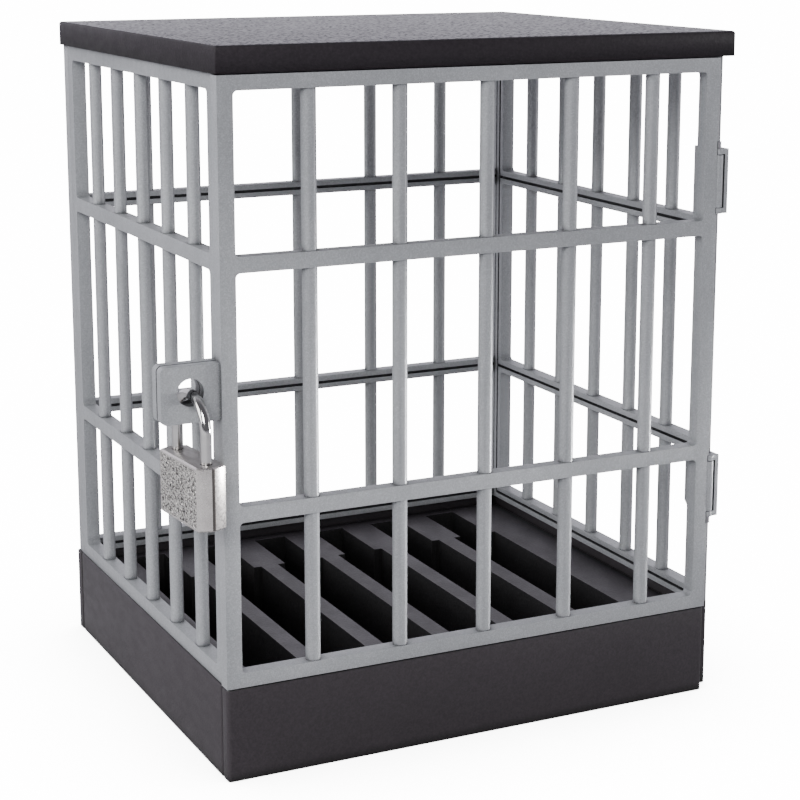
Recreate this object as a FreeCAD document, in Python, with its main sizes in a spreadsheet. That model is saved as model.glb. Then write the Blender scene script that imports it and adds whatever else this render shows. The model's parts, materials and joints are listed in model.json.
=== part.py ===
"""Barred cage for locking phones away: a dark slotted base, four grille walls (the front one is a hinged door),
a slab roof, and a small keyed padlock through two lugs. Millimetres, +Z up, origin at the centre of the underside."""
import math
import os

import FreeCAD, Part
import Sketcher
from FreeCAD import Placement, Rotation, Vector

doc = FreeCAD.newDocument("PhoneCage")

# Driving sizes: millimetres, degrees or counts
SIZES = {
    "base_wide": (149.5, "base, left to right"),
    "base_deep": (130.0, "base, front to back"),
    "base_high": (25.0, "base plates, height"),
    "plate": (4.0, "base plates, thickness"),
    "seam": (0.2, "open seam between the front plate and the side plates"),
    "catch_reach": (1.2, "how far the rib inside a plate reaches into the rack"),
    "catch_high": (3.0, "height of that rib"),
    "catch_rise": (11.0, "the rib above the table"),
    "fit": (0.1, "clearance of parts that plug together"),
    "tray_thick": (3.0, "bottom tray, thickness"),
    "rack_drop": (3.0, "top of the rack below the top of the base"),
    "slot_count": (6, "slots in the rack"),
    "slot_pitch": (20.45, "slot spacing"),
    "slot_wide": (15.0, "slot width at the front"),
    "slot_narrow": (10.2, "slot width at the back"),
    "narrow_long": (25.0, "length of the narrow stretch"),
    "slot_margin": (8.0, "from the base's front and back faces to the slots"),
    "slot_shift": (3.125, "row of slots left of the middle"),
    "rib_wall": (1.5, "wall beside the hollow under each rack rib"),
    "deck": (1.8, "top of the rack over its hollows"),
    "tray_screw": (2.0, "tray screws, diameter"),
    "screw_head": (3.6, "tray screws, head diameter"),
    "screw_long": (9.0, "tray screws, length"),
    "screw_slot": (0.6, "width and depth of a screw's slot"),
    "screw_pitch": (60.0, "tray screws, spacing along the width"),
    "cage_high": (156.2, "grille walls, from the base to the roof"),
    "wall": (4.0, "grille walls, thickness"),
    "rail": (4.1, "level rails, height"),
    "stile": (4.2, "uprights at a wall's ends, width"),
    "upper_rail": (107.5, "underside of the upper cross rail above the base"),
    "lower_rail": (44.0, "underside of the lower cross rail above the base"),
    "bar_wide": (4.0, "bars, width"),
    "bar_thick": (3.4, "bars, thickness"),
    "bar_count": (5, "bars in each wall"),
    "bar_spread": (0.8, "added to the base's width before the front and back bars divide it evenly"),
    "corner_round": (1.2, "corners of the openings, radius"),
    "groove_high": (0.9, "groove in the inner faces, width"),
    "groove_deep": (1.4, "groove in the inner faces, depth"),
    "side_reveal": (0.6, "side walls inside the base's outer face"),
    "back_reveal": (1.1, "back wall inside the base's outer face"),
    "tab_long": (14.0, "plug-in tabs of the walls, length"),
    "tab_thick": (1.2, "plug-in tabs, thickness"),
    "tab_deep": (4.0, "plug-in tabs, depth"),
    "tab_space": (60.0, "distance between a wall's tabs"),
    "roof_over": (0.25, "roof outside the base at each side"),
    "roof_thick": (6.8, "roof, thickness"),
    "roof_edge": (0.4, "small bevel round the roof's top"),
    "hinge_room": (4.2, "door and front plate short of the base's right side"),
    "door_gap": (0.3, "gap over, under and behind the door"),
    "pin_offset": (0.8, "hinge axis right of the door's edge"),
    "pin_depth": (1.0, "hinge axis behind the door's front face"),
    "pin_dia": (1.4, "hinge pins, diameter"),
    "pin_play": (0.05, "radial clearance on a hinge pin"),
    "pin_stub": (2.0, "a hinge pin's end outside its lug"),
    "barrel_dia": (2.7, "door's hinge barrels, diameter"),
    "ear_dia": (2.6, "ears round a hinge pin, diameter"),
    "ear_high": (1.5, "ears, height"),
    "ear_play": (0.2, "gap between an ear and the door"),
    "lug_high": (17.8, "hinge lugs, height"),
    "lug_thick": (1.2, "hinge lugs, thickness"),
    "lug_setback": (0.2, "hinge lugs behind the door's front face"),
    "upper_lug": (113.3, "upper hinge lug above the base"),
    "lower_lug": (26.8, "lower hinge lug above the base"),
    "boss_wide": (2.3, "extra width of the upright beside a hinge lug"),
    "hasp_reach": (15.5, "how far the hasp lugs stand out"),
    "hasp_high": (14.5, "hasp lugs, height"),
    "hasp_rise": (71.0, "hasp lugs above the base"),
    "hasp_thick": (2.7, "hasp lugs, thickness"),
    "hasp_setback": (1.0, "front hasp lug behind the door's front face"),
    "hasp_round": (1.5, "hasp lugs, corner radius"),
    "hasp_hole": (7.0, "holes in the hasp lugs, diameter"),
    "hole_reach": (7.8, "hole centre left of the door's edge"),
    "hole_rise": (7.7, "hole centre above the lug's underside"),
    "lock_reach": (6.9, "padlock's middle left of the door's edge"),
    "lock_depth": (3.5, "padlock's middle behind the door's front face"),
    "lock_lift": (1.2, "underside of the shackle's bend above the bottom of the holes"),
    "lock_turn": (94.5, "padlock's turn from left-to-right towards the back"),
    "lock_wide": (25.0, "padlock body, edge to edge"),
    "lock_thick": (7.8, "padlock body, face to face"),
    "lock_high": (16.3, "padlock body, height"),
    "bevel_long": (1.6, "bevels, length along the body's width"),
    "bevel_deep": (3.5, "bevels, depth from each large face"),
    "lock_edge": (0.4, "small bevel round the body's top and bottom"),
    "wire": (2.8, "shackle, diameter"),
    "leg_pitch": (17.0, "between the shackle's legs"),
    "shackle_rise": (15.9, "centre line of the shackle's bend above the body"),
    "heel_deep": (12.6, "long leg inside the body"),
    "toe_deep": (6.0, "short leg inside the body"),
    "bore_spare": (0.3, "bores deeper than what they hold"),
    "lock_play": (0.06, "radial clearance inside the padlock"),
    "release": (6.6, "travel of the released shackle"),
    "latch_dia": (2.2, "latch bolt, diameter"),
    "latch_deep": (3.2, "latch bolt's centre below the body's top"),
    "latch_long": (9.4, "latch bolt, length"),
    "latch_bite": (0.8, "how far the latch reaches into the short leg"),
    "latch_travel": (1.65, "how far the latch draws back"),
    "latch_slot": (1.1, "cross slot under the latch, width"),
    "latch_slot_deep": (0.9, "cross slot under the latch, depth"),
    "latch_seat": (4.4, "length of the seat of the latch's spring"),
    "plug_dia": (5.2, "key plug, diameter"),
    "plug_long": (9.6, "key plug, length"),
    "plug_shift": (1.0, "key plug ahead of the body's middle"),
    "cam_dia": (0.9, "cam pin on the plug, diameter"),
    "cam_radius": (1.17, "cam pin from the plug's axis"),
    "keyway_wide": (0.9, "keyway, width"),
    "keyway_high": (4.0, "keyway, height across the plug"),
    "keyway_long": (8.6, "keyway, depth"),
    "chamber_dia": (1.7, "tumbler chambers, diameter"),
    "tumblers": (3, "tumbler pins"),
    "tumbler_pitch": (2.4, "tumbler spacing"),
    "tumbler_rise": (2.1, "lowest tumbler above the body's underside"),
    "shear_gap": (0.15, "key pins below the plug's surface"),
    "key_pin_long": (1.2, "key pins, length"),
    "driver_long": (3.0, "driver pins, length"),
    "stack_spring": (3.8, "tumbler springs, length"),
    "cap_back": (0.6, "caps behind the ridge of the body"),
    "spring_wire": (0.26, "wire of the small springs"),
    "coil_pitch": (0.95, "pitch of the small springs"),
    "stop_dia": (1.0, "retaining pins, diameter"),
    "stop_bite": (0.45, "how far a retaining pin reaches into the long leg"),
    "plug_groove": (0.7, "groove round the key plug, depth"),
    "plug_groove_drop": (1.0, "that groove's middle below the plug's top"),
}

sheet = doc.addObject("Spreadsheet::Sheet", "Sizes")
for row, (alias, (number, note)) in enumerate(SIZES.items(), start=1):
    sheet.set(f"A{row}", note)
    sheet.set(f"B{row}", str(number))
    sheet.setAlias(f"B{row}", alias)
doc.recompute()


class Size:
    """A length worked out from the sheet: its value now, and the expression that keeps it so."""

    def __init__(self, value, text):
        self.value = float(value)
        self.text = text

    def _with(self, other, sign, value):
        return Size(value, f"({self.text} {sign} {other.text})")

    def __add__(self, other):
        other = size(other)
        return self._with(other, "+", self.value + other.value)

    def __sub__(self, other):
        other = size(other)
        return self._with(other, "-", self.value - other.value)

    def __mul__(self, other):
        other = size(other)
        return self._with(other, "*", self.value * other.value)

    def __truediv__(self, other):
        other = size(other)
        return self._with(other, "/", self.value / other.value)

    def __neg__(self):
        return Size(-self.value, f"(-1 * {self.text})")


def size(thing):
    """A plain number as a Size."""
    return thing if isinstance(thing, Size) else Size(thing, repr(float(thing)))


class Dimensions:
    """The sheet's cells by alias."""

    def __getattr__(self, alias):
        return Size(sheet.get(alias), f"Sizes.{alias}")


d = Dimensions()
ZERO = size(0)
UP, RIGHT, BACK = Vector(0, 0, 1), Vector(1, 0, 0), Vector(0, 1, 0)
ALONG = {"up": Rotation(), "right": Rotation(BACK, 90), "back": Rotation(RIGHT, -90)}


def bind(thing, prop, length):
    """Sets a property from the sheet."""
    thing.setExpression(prop, size(length).text)


def place(thing, at, rotation=None):
    """Puts an object at a point that follows the sheet."""
    point = [size(coordinate) for coordinate in at]
    thing.Placement = Placement(Vector(*[c.value for c in point]), rotation or Rotation())
    for name, coordinate in zip("xyz", point):
        bind(thing, f"Placement.Base.{name}", coordinate)
    return thing


def box(label, low, extent):
    """A block from its lowest corner and its three lengths."""
    block = doc.addObject("Part::Box", label)
    for prop, length in zip(("Length", "Width", "Height"), extent):
        bind(block, prop, length)
    return place(block, low)


def rod(label, at, diameter, length, along="up"):
    """A cylinder that starts at a point."""
    cylinder = doc.addObject("Part::Cylinder", label)
    bind(cylinder, "Radius", diameter / 2)
    bind(cylinder, "Height", length)
    return place(cylinder, at, ALONG[along])


def taper(label, at, low_diameter, high_diameter, length):
    """An upright cone."""
    cone = doc.addObject("Part::Cone", label)
    bind(cone, "Radius1", low_diameter / 2)
    bind(cone, "Radius2", high_diameter / 2)
    bind(cone, "Height", length)
    return place(cone, at)


def fuse(label, parts):
    """Several solids made one."""
    joined = doc.addObject("Part::MultiFuse", label)
    joined.Shapes = parts
    joined.Refine = True
    return joined


def group(label, parts):
    """Separate solids under one name."""
    together = doc.addObject("Part::Compound", label)
    together.Links = parts
    return together


def cut(label, base, tools):
    """A solid with tools taken away, checked to have lost material."""
    cutting = doc.addObject("Part::Cut", label)
    cutting.Base = base
    cutting.Tool = tools[0] if len(tools) == 1 else fuse(label + "_tools", tools)
    cutting.Refine = True
    doc.recompute()
    if not cutting.Shape.Volume < base.Shape.Volume - 1e-6:
        raise ValueError(f"{label}: the tools cut nothing")
    return cutting


def sketch_on(body, label, role, offset=ZERO):
    """A sketch on one of the body's own origin planes, moved along the plane's normal."""
    plane = next(feature for feature in body.Origin.OriginFeatures if feature.Role == role)
    sketch = body.newObject("Sketcher::SketchObject", label)
    sketch.AttachmentSupport = [(plane, "")]
    sketch.MapMode = "FlatFace"
    sketch.AttachmentOffset = Placement(Vector(0, 0, offset.value), Rotation())
    bind(sketch, "AttachmentOffset.Base.z", offset)
    return sketch


def draw_polygon(sketch, corners):
    """A closed outline of straight lines whose corners follow the sheet."""
    first = sketch.GeometryCount
    corners = [(size(x), size(y)) for x, y in corners]
    points = [Vector(x.value, y.value, 0) for x, y in corners]
    count = len(points)
    for i in range(count):
        sketch.addGeometry(Part.LineSegment(points[i], points[(i + 1) % count]), False)
    for i in range(count):
        sketch.addConstraint(Sketcher.Constraint("Coincident", first + i, 2, first + (i + 1) % count, 1))
    for i, corner in enumerate(corners):
        for kind, length in zip(("DistanceX", "DistanceY"), corner):
            index = sketch.addConstraint(Sketcher.Constraint(kind, -1, 1, first + i, 1, length.value))
            sketch.setExpression(f"Constraints[{index}]", length.text)


def draw_rectangle(sketch, low, high):
    """An upright rectangle from two opposite corners."""
    draw_polygon(sketch, [low, (high[0], low[1]), high, (low[0], high[1])])


def draw_bar(sketch, middle, wide, thick):
    """A bar's section: flat faces, half-round edges, its middle on the sketch's X axis."""
    radius, reach = thick / 2, (wide - thick) / 2
    x, r, a, quarter = middle.value, radius.value, reach.value, math.pi / 2
    right, top, left, bottom = range(4)
    sketch.addGeometry(Part.ArcOfCircle(Part.Circle(Vector(x + a, 0, 0), UP, r), -quarter, quarter), False)
    sketch.addGeometry(Part.LineSegment(Vector(x + a, r, 0), Vector(x - a, r, 0)), False)
    sketch.addGeometry(Part.ArcOfCircle(Part.Circle(Vector(x - a, 0, 0), UP, r), quarter, 3 * quarter), False)
    sketch.addGeometry(Part.LineSegment(Vector(x - a, -r, 0), Vector(x + a, -r, 0)), False)
    for one, other in ((right, top), (top, left), (left, bottom), (bottom, right)):
        sketch.addConstraint(Sketcher.Constraint("Tangent", one, 2, other, 1))
    for arc in (right, left):
        sketch.addConstraint(Sketcher.Constraint("PointOnObject", arc, 3, -1))
    bound = (
        (Sketcher.Constraint("Radius", right, r), radius),
        (Sketcher.Constraint("DistanceX", -1, 1, left, 3, x - a), middle - reach),
        (Sketcher.Constraint("DistanceX", left, 3, right, 3, 2 * a), reach * 2),
    )
    for constraint, length in bound:
        index = sketch.addConstraint(constraint)
        sketch.setExpression(f"Constraints[{index}]", length.text)


def pad(body, sketch, length, middle=False):
    """Material added from a sketch."""
    feature = body.newObject("PartDesign::Pad", sketch.Name + "_pad")
    feature.Profile = sketch
    bind(feature, "Length", length)
    feature.Midplane = middle
    doc.recompute()
    return feature


def pocket(body, sketch, length):
    """Material taken away below a sketch, checked."""
    before = body.Shape.Volume
    feature = body.newObject("PartDesign::Pocket", sketch.Name + "_pocket")
    feature.Profile = sketch
    bind(feature, "Length", length)
    doc.recompute()
    if not body.Shape.Volume < before - 1e-6:
        raise ValueError(f"{sketch.Name}: the pocket cuts nothing")
    return feature


def row_of(body, feature, sketch, pitch, count):
    """Copies of a feature along its sketch's X axis."""
    pattern = body.newObject("PartDesign::LinearPattern", feature.Name + "_row")
    pattern.Originals = [feature]
    pattern.Direction = (sketch, ["H_Axis"])
    bind(pattern, "Length", pitch * (count - 1))
    bind(pattern, "Occurrences", count)
    body.Tip = pattern
    doc.recompute()
    return pattern


def prism(label, role, corners, middle, length):
    """A polygon on an origin plane made solid, half its length to each side of a middle plane."""
    body = doc.addObject("PartDesign::Body", label)
    sketch = sketch_on(body, label + "_outline", role, middle)
    draw_polygon(sketch, corners)
    pad(body, sketch, length, middle=True)
    return body


# Planes that the pieces share
left_x, right_x = -d.base_wide / 2, d.base_wide / 2
front_y, back_y = -d.base_deep / 2, d.base_deep / 2
door_wide = d.base_wide - d.hinge_room
door_right = left_x + door_wide
cage_left, cage_right = left_x + d.side_reveal, right_x - d.side_reveal
cage_back = back_y - d.back_reveal
roof_z = d.base_high + d.cage_high
side_front = front_y + d.wall + d.door_gap
side_back = cage_back - d.wall
side_long = side_back - side_front
cage_wide = cage_right - cage_left
roof_wide = d.base_wide + d.roof_over * 2
front_pitch = (d.base_wide + d.bar_spread) / (d.bar_count + 1)
side_pitch = side_long / (d.bar_count + 1)
hinge_x, hinge_y = door_right + d.pin_offset, front_y + d.pin_depth
tray_top = d.tray_thick
rack_top = d.base_high - d.rack_drop
inner_wide, inner_deep = d.base_wide - d.plate * 2, d.base_deep - d.plate * 2

nodes = []


def node(thing, label):
    """Names a finished piece."""
    thing.Label = label
    nodes.append(thing)
    return thing


# Each fixed wall plugs into the base plate under it and into the roof by two tabs at each end
tab_lines = {
    "left_wall": (left_x + (d.side_reveal + d.plate) / 2, True),
    "right_wall": (right_x - (d.side_reveal + d.plate) / 2, True),
    "back_wall": (back_y - (d.back_reveal + d.plate) / 2, False),
}


def wall_tabs(label, wall, low_z, play):
    """A wall's pair of tabs at one level, or the slots for them when play is given."""
    line, runs_back = tab_lines[wall]
    thick, long, deep = d.tab_thick + play * 2, d.tab_long + play * 2, d.tab_deep + play
    pair = []
    for name, side in (("near", -0.5), ("far", 0.5)):
        middle = d.tab_space * side
        if runs_back:
            low, extent = (line - thick / 2, middle - long / 2, low_z), (thick, long, deep)
        else:
            low, extent = (middle - long / 2, line - thick / 2, low_z), (long, thick, deep)
        pair.append(box(f"{label}_{name}", low, extent))
    return pair


# Four flat plates stand on edge round the base. A rib inside each one snaps into the rack.
side_low = front_y + d.plate + d.seam
side_deep = inner_deep - d.seam
catch_wide, catch_deep = inner_wide - d.slot_margin * 2, inner_deep - d.slot_margin * 2
catch_z = d.catch_rise
flat_plates = {
    "base_front_plate": (
        ((left_x, front_y, ZERO), (door_wide, d.plate, d.base_high)),
        ((-catch_wide / 2, front_y + d.plate, catch_z), (catch_wide, d.catch_reach, d.catch_high)),
        None,
    ),
    "base_back_plate": (
        ((left_x, back_y - d.plate, ZERO), (d.base_wide, d.plate, d.base_high)),
        ((-catch_wide / 2, back_y - d.plate - d.catch_reach, catch_z), (catch_wide, d.catch_reach, d.catch_high)),
        "back_wall",
    ),
    "base_left_plate": (
        ((left_x, side_low, ZERO), (d.plate, side_deep, d.base_high)),
        ((left_x + d.plate, -catch_deep / 2, catch_z), (d.catch_reach, catch_deep, d.catch_high)),
        "left_wall",
    ),
    "base_right_plate": (
        ((right_x - d.plate, side_low, ZERO), (d.plate, side_deep, d.base_high)),
        ((right_x - d.plate - d.catch_reach, -catch_deep / 2, catch_z), (d.catch_reach, catch_deep, d.catch_high)),
        "right_wall",
    ),
}
for label, (flat, catch, wall) in flat_plates.items():
    plate = fuse(label + "_blank", [box(label + "_flat", *flat), box(label + "_catch", *catch)])
    if wall:
        plate = cut(label + "_slotted", plate, wall_tabs(label + "_slot", wall, d.base_high - d.tab_deep - d.fit, d.fit))
    node(plate, label)

# The rack between the plates: six slots from front to back, narrower at the back, and a hollow under each rib
rack_body = doc.addObject("PartDesign::Body", "rack_moulding")
rack_outline = sketch_on(rack_body, "rack_outline", "XY_Plane", tray_top)
draw_rectangle(rack_outline, (-inner_wide / 2, -inner_deep / 2), (inner_wide / 2, inner_deep / 2))
pad(rack_body, rack_outline, rack_top - tray_top)

first_slot = -d.slot_shift - d.slot_pitch * (d.slot_count - 1) / 2
slot_front, slot_back = front_y + d.slot_margin, back_y - d.slot_margin
slot_step = slot_back - d.narrow_long
slot_sketch = sketch_on(rack_body, "rack_slot", "XY_Plane", rack_top)
draw_polygon(
    slot_sketch,
    [
        (first_slot - d.slot_wide / 2, slot_front),
        (first_slot + d.slot_wide / 2, slot_front),
        (first_slot + d.slot_wide / 2, slot_step),
        (first_slot + d.slot_narrow / 2, slot_step),
        (first_slot + d.slot_narrow / 2, slot_back),
        (first_slot - d.slot_narrow / 2, slot_back),
        (first_slot - d.slot_narrow / 2, slot_step),
        (first_slot - d.slot_wide / 2, slot_step),
    ],
)
slot_cut = pocket(rack_body, slot_sketch, rack_top - tray_top)
row_of(rack_body, slot_cut, slot_sketch, d.slot_pitch, d.slot_count)

rib_middle = first_slot - d.slot_pitch / 2
hollow_wide = d.slot_pitch - d.slot_wide - d.rib_wall * 2
hollow_sketch = sketch_on(rack_body, "rack_hollow", "XY_Plane", rack_top - d.deck)
draw_rectangle(hollow_sketch, (rib_middle - hollow_wide / 2, slot_front), (rib_middle + hollow_wide / 2, slot_back))
hollow_cut = pocket(rack_body, hollow_sketch, rack_top - d.deck - tray_top)
row_of(rack_body, hollow_cut, hollow_sketch, d.slot_pitch, d.slot_count + 1)

catch_grooves = []
for side, across in (("front", -1), ("back", 1)):
    reach = d.catch_reach + d.fit
    low_y = -inner_deep / 2 if across < 0 else inner_deep / 2 - reach
    catch_grooves.append(
        box(
            f"rack_{side}_groove",
            (-catch_wide / 2 - d.fit, low_y, catch_z - d.fit),
            (catch_wide + d.fit * 2, reach, d.catch_high + d.fit * 2),
        )
    )
for side, across in (("left", -1), ("right", 1)):
    reach = d.catch_reach + d.fit
    low_x = -inner_wide / 2 if across < 0 else inner_wide / 2 - reach
    catch_grooves.append(
        box(
            f"rack_{side}_groove",
            (low_x, -catch_deep / 2 - d.fit, catch_z - d.fit),
            (reach, catch_deep + d.fit * 2, d.catch_high + d.fit * 2),
        )
    )

# Countersunk screws hold the bottom tray to the rack
screw_y = inner_deep / 2 - (d.slot_margin - d.plate) / 2
screw_spots = [(d.screw_pitch * across, screw_y * along) for along in (-1, 1) for across in (-1, 0, 1)]
head_high = (d.screw_head - d.tray_screw) / 2
screws, screw_tray_holes, screw_rack_holes = [], [], []
for number, (x, y) in enumerate(screw_spots, start=1):
    name = f"tray_screw_{number}"
    shank = rod(name + "_shank", (x, y, ZERO), d.tray_screw, d.screw_long)
    head = taper(name + "_head", (x, y, ZERO), d.screw_head, d.tray_screw, head_high)
    drive = box(
        name + "_drive",
        (x - d.screw_head * 0.35, y - d.screw_slot / 2, ZERO),
        (d.screw_head * 0.7, d.screw_slot, d.screw_slot),
    )
    screws.append(cut(name, fuse(name + "_blank", [shank, head]), [drive]))
    screw_tray_holes.append(rod(name + "_way", (x, y, ZERO), d.tray_screw, d.tray_thick))
    screw_tray_holes.append(taper(name + "_sink", (x, y, ZERO), d.screw_head, d.tray_screw, head_high))
    screw_rack_holes.append(rod(name + "_pilot", (x, y, tray_top), d.tray_screw, d.screw_long - d.tray_thick + d.bore_spare))
node(cut("rack_drilled", rack_body, catch_grooves + screw_rack_holes), "phone_rack")
tray_blank = box("tray_blank", (-inner_wide / 2, -inner_deep / 2, ZERO), (inner_wide, inner_deep, d.tray_thick))
node(cut("tray_drilled", tray_blank, screw_tray_holes), "base_tray")
node(group("tray_screw_set", screws), "tray_screws")


def grille(label, wide, lift, first_bar, pitch, upright_grooves=True):
    """A moulded grille standing up with its outer face to -Y and its lower left corner at the origin: a frame,
    two cross rails, a row of bars with half-round edges, and narrow grooves along the inner faces. A lift lowers
    the levels inside a panel that starts that much above the base."""
    high = d.cage_high - lift * 2
    body = doc.addObject("PartDesign::Body", label + "_moulding")
    frame = sketch_on(body, label + "_frame", "XZ_Plane")
    draw_rectangle(frame, (ZERO, ZERO), (wide, high))
    rows = (
        (d.rail - lift, d.lower_rail - lift),
        (d.lower_rail + d.rail - lift, d.upper_rail - lift),
        (d.upper_rail + d.rail - lift, d.cage_high - d.rail - lift),
    )
    for low_z, high_z in rows:
        draw_rectangle(frame, (d.stile, low_z), (wide - d.stile, high_z))
    plain = pad(body, frame, d.wall, middle=True)

    corners = []
    for number, edge in enumerate(plain.Shape.Edges, start=1):
        one, other = edge.Vertexes[0].Point, edge.Vertexes[-1].Point
        across = abs(one.x - other.x) < 1e-6 and abs(one.z - other.z) < 1e-6
        if across and 0.1 < one.x < wide.value - 0.1 and 0.1 < one.z < high.value - 0.1:
            corners.append(f"Edge{number}")
    rounding = body.newObject("PartDesign::Fillet", label + "_corners")
    rounding.Base = (plain, corners)
    bind(rounding, "Radius", d.corner_round)
    doc.recompute()

    bar = sketch_on(body, label + "_bar", "XY_Plane", d.rail / 2)
    draw_bar(bar, first_bar, d.bar_wide, d.bar_thick)
    row_of(body, pad(body, bar, high - d.rail), bar, pitch, d.bar_count)

    depth, half = d.wall / 2 - d.groove_deep, d.groove_high / 2
    grooves = []
    levels = {
        "bottom": (d.rail - lift) / 2,
        "lower": d.lower_rail + d.rail / 2 - lift,
        "upper": d.upper_rail + d.rail / 2 - lift,
        "top": high - (d.rail - lift) / 2,
    }
    for name, middle in levels.items():
        low = (d.stile / 2, depth, middle - half)
        grooves.append(box(f"{label}_{name}_groove", low, (wide - d.stile, d.groove_deep, d.groove_high)))
    if upright_grooves:
        for name, middle in (("left", d.stile / 2), ("right", wide - d.stile / 2)):
            low = (middle - half, depth, levels["bottom"])
            grooves.append(
                box(f"{label}_{name}_groove", low, (d.groove_high, d.groove_deep, levels["top"] - levels["bottom"]))
            )
    return cut(label + "_panel", body, grooves)


def hasp_lug(label, low_y, joined_x):
    """A flat lug with two rounded corners, from its tip at the left to where it joins a wall or the door."""
    tip_x, low_z = left_x - d.hasp_reach, d.base_high + d.hasp_rise
    long, r = joined_x - tip_x, d.hasp_round
    parts = [
        box(label + "_middle", (tip_x, low_y, low_z + r), (long, d.hasp_thick, d.hasp_high - r * 2)),
        box(label + "_full", (tip_x + r, low_y, low_z), (long - r, d.hasp_thick, d.hasp_high)),
    ]
    for name, z in (("low", low_z + r), ("high", low_z + d.hasp_high - r)):
        parts.append(rod(f"{label}_{name}_corner", (tip_x + r, low_y, z), r * 2, d.hasp_thick, "back"))
    return fuse(label, parts)


def hasp_hole(label, low_y):
    """The padlock's hole through a hasp lug."""
    z = d.base_high + d.hasp_rise + d.hole_rise
    return rod(label, (left_x - d.hole_reach, low_y, z), d.hasp_hole, d.hasp_thick, "back")


# Left wall, with the rear lug of the hasp on its front upright
left_panel = place(
    grille("left_wall", side_long, ZERO, side_long / 2 - side_pitch * (d.bar_count - 1) / 2, side_pitch),
    (cage_left + d.wall / 2, side_back, d.base_high),
    Rotation(UP, -90),
)
left_wall = fuse(
    "left_wall_joined",
    [left_panel, hasp_lug("wall_hasp_lug", side_front, cage_left + d.hasp_round)]
    + wall_tabs("left_wall_foot", "left_wall", d.base_high - d.tab_deep, ZERO)
    + wall_tabs("left_wall_head", "left_wall", roof_z, ZERO),
)
node(cut("left_wall_drilled", left_wall, [hasp_hole("wall_hasp_hole", side_front)]), "left_wall")

# Right wall: each hinge lug is a thin plate in front of the upright, with an ear at its foot and its head
right_panel = place(
    grille("right_wall", side_long, ZERO, side_long / 2 - side_pitch * (d.bar_count - 1) / 2, side_pitch),
    (cage_right - d.wall / 2, side_front, d.base_high),
    Rotation(UP, 90),
)
right_parts = [right_panel]
right_parts += wall_tabs("right_wall_foot", "right_wall", d.base_high - d.tab_deep, ZERO)
right_parts += wall_tabs("right_wall_head", "right_wall", roof_z, ZERO)
lugs = {"upper": d.base_high + d.upper_lug, "lower": d.base_high + d.lower_lug}
lug_x = cage_right - d.lug_thick
ear_front = front_y + d.lug_setback
pins, pin_bores, ear_levels = {}, [], []
for name, low_z in lugs.items():
    plate_deep = side_front + d.wall / 2 - ear_front
    right_parts.append(box(f"{name}_lug_plate", (lug_x, ear_front, low_z), (d.lug_thick, plate_deep, d.lug_high)))
    for level, ear_z in (("foot", low_z), ("head", low_z + d.lug_high - d.ear_high)):
        ear_levels.append((f"{name}_{level}", ear_z))
        right_parts.append(rod(f"{name}_{level}_ear", (hinge_x, hinge_y, ear_z), d.ear_dia, d.ear_high))
        right_parts.append(
            box(
                f"{name}_{level}_ear_root",
                (hinge_x, ear_front, ear_z),
                (lug_x - hinge_x, hinge_y + d.ear_dia / 2 - ear_front, d.ear_high),
            )
        )
    pin_low = low_z if name == "upper" else low_z - d.pin_stub
    pins[name] = (pin_low, d.lug_high + d.pin_stub)
    pin_bores.append(rod(f"{name}_lug_bore", (hinge_x, hinge_y, low_z), d.pin_dia, d.lug_high))

boss_front = side_front + d.stile - d.corner_round
boss_back = side_front + d.stile + d.boss_wide
upper_foot = d.base_high + d.upper_rail + d.rail / 2
lower_head = d.base_high + d.lower_rail + d.rail / 2
right_parts.append(
    box(
        "upper_boss",
        (cage_right - d.wall, boss_front, upper_foot),
        (d.wall, boss_back - boss_front, lugs["upper"] + d.lug_high - upper_foot),
    )
)
right_parts.append(
    prism(
        "lower_boss",
        "YZ_Plane",
        [
            (boss_front, lugs["lower"]),
            (boss_back - d.boss_wide, lugs["lower"]),
            (boss_back, lugs["lower"] + d.boss_wide),
            (boss_back, lower_head),
            (boss_front, lower_head),
        ],
        cage_right - d.wall / 2,
        d.wall,
    )
)
node(cut("right_wall_drilled", fuse("right_wall_joined", right_parts), pin_bores), "right_wall")

# Back wall, across the ends of the side walls
back_panel = place(
    grille("back_wall", cage_wide, ZERO, cage_wide / 2 - front_pitch * (d.bar_count - 1) / 2, front_pitch, False),
    (cage_right, cage_back - d.wall / 2, d.base_high),
    Rotation(UP, 180),
)
back_parts = [back_panel]
back_parts += wall_tabs("back_wall_foot", "back_wall", d.base_high - d.tab_deep, ZERO)
back_parts += wall_tabs("back_wall_head", "back_wall", roof_z, ZERO)
node(fuse("back_wall_joined", back_parts), "back_wall")

# Roof slab with slots underneath for the walls' tabs
roof_body = doc.addObject("PartDesign::Body", "roof_slab")
roof_outline = sketch_on(roof_body, "roof_outline", "XY_Plane", roof_z)
draw_rectangle(roof_outline, (-roof_wide / 2, front_y), (roof_wide / 2, back_y))
roof_pad = pad(roof_body, roof_outline, d.roof_thick)
roof_top = (roof_z + d.roof_thick).value
roof_bevel = roof_body.newObject("PartDesign::Chamfer", "roof_bevel")
roof_bevel.Base = (
    roof_pad,
    [f"Edge{n}" for n, edge in enumerate(roof_pad.Shape.Edges, 1) if all(abs(v.Z - roof_top) < 1e-6 for v in edge.Vertexes)],
)
bind(roof_bevel, "Size", d.roof_edge)
doc.recompute()
roof_slots = [slot for wall in tab_lines for slot in wall_tabs(f"roof_{wall}_slot", wall, roof_z, d.fit)]
node(cut("roof_slotted", roof_body, roof_slots), "roof")

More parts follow.
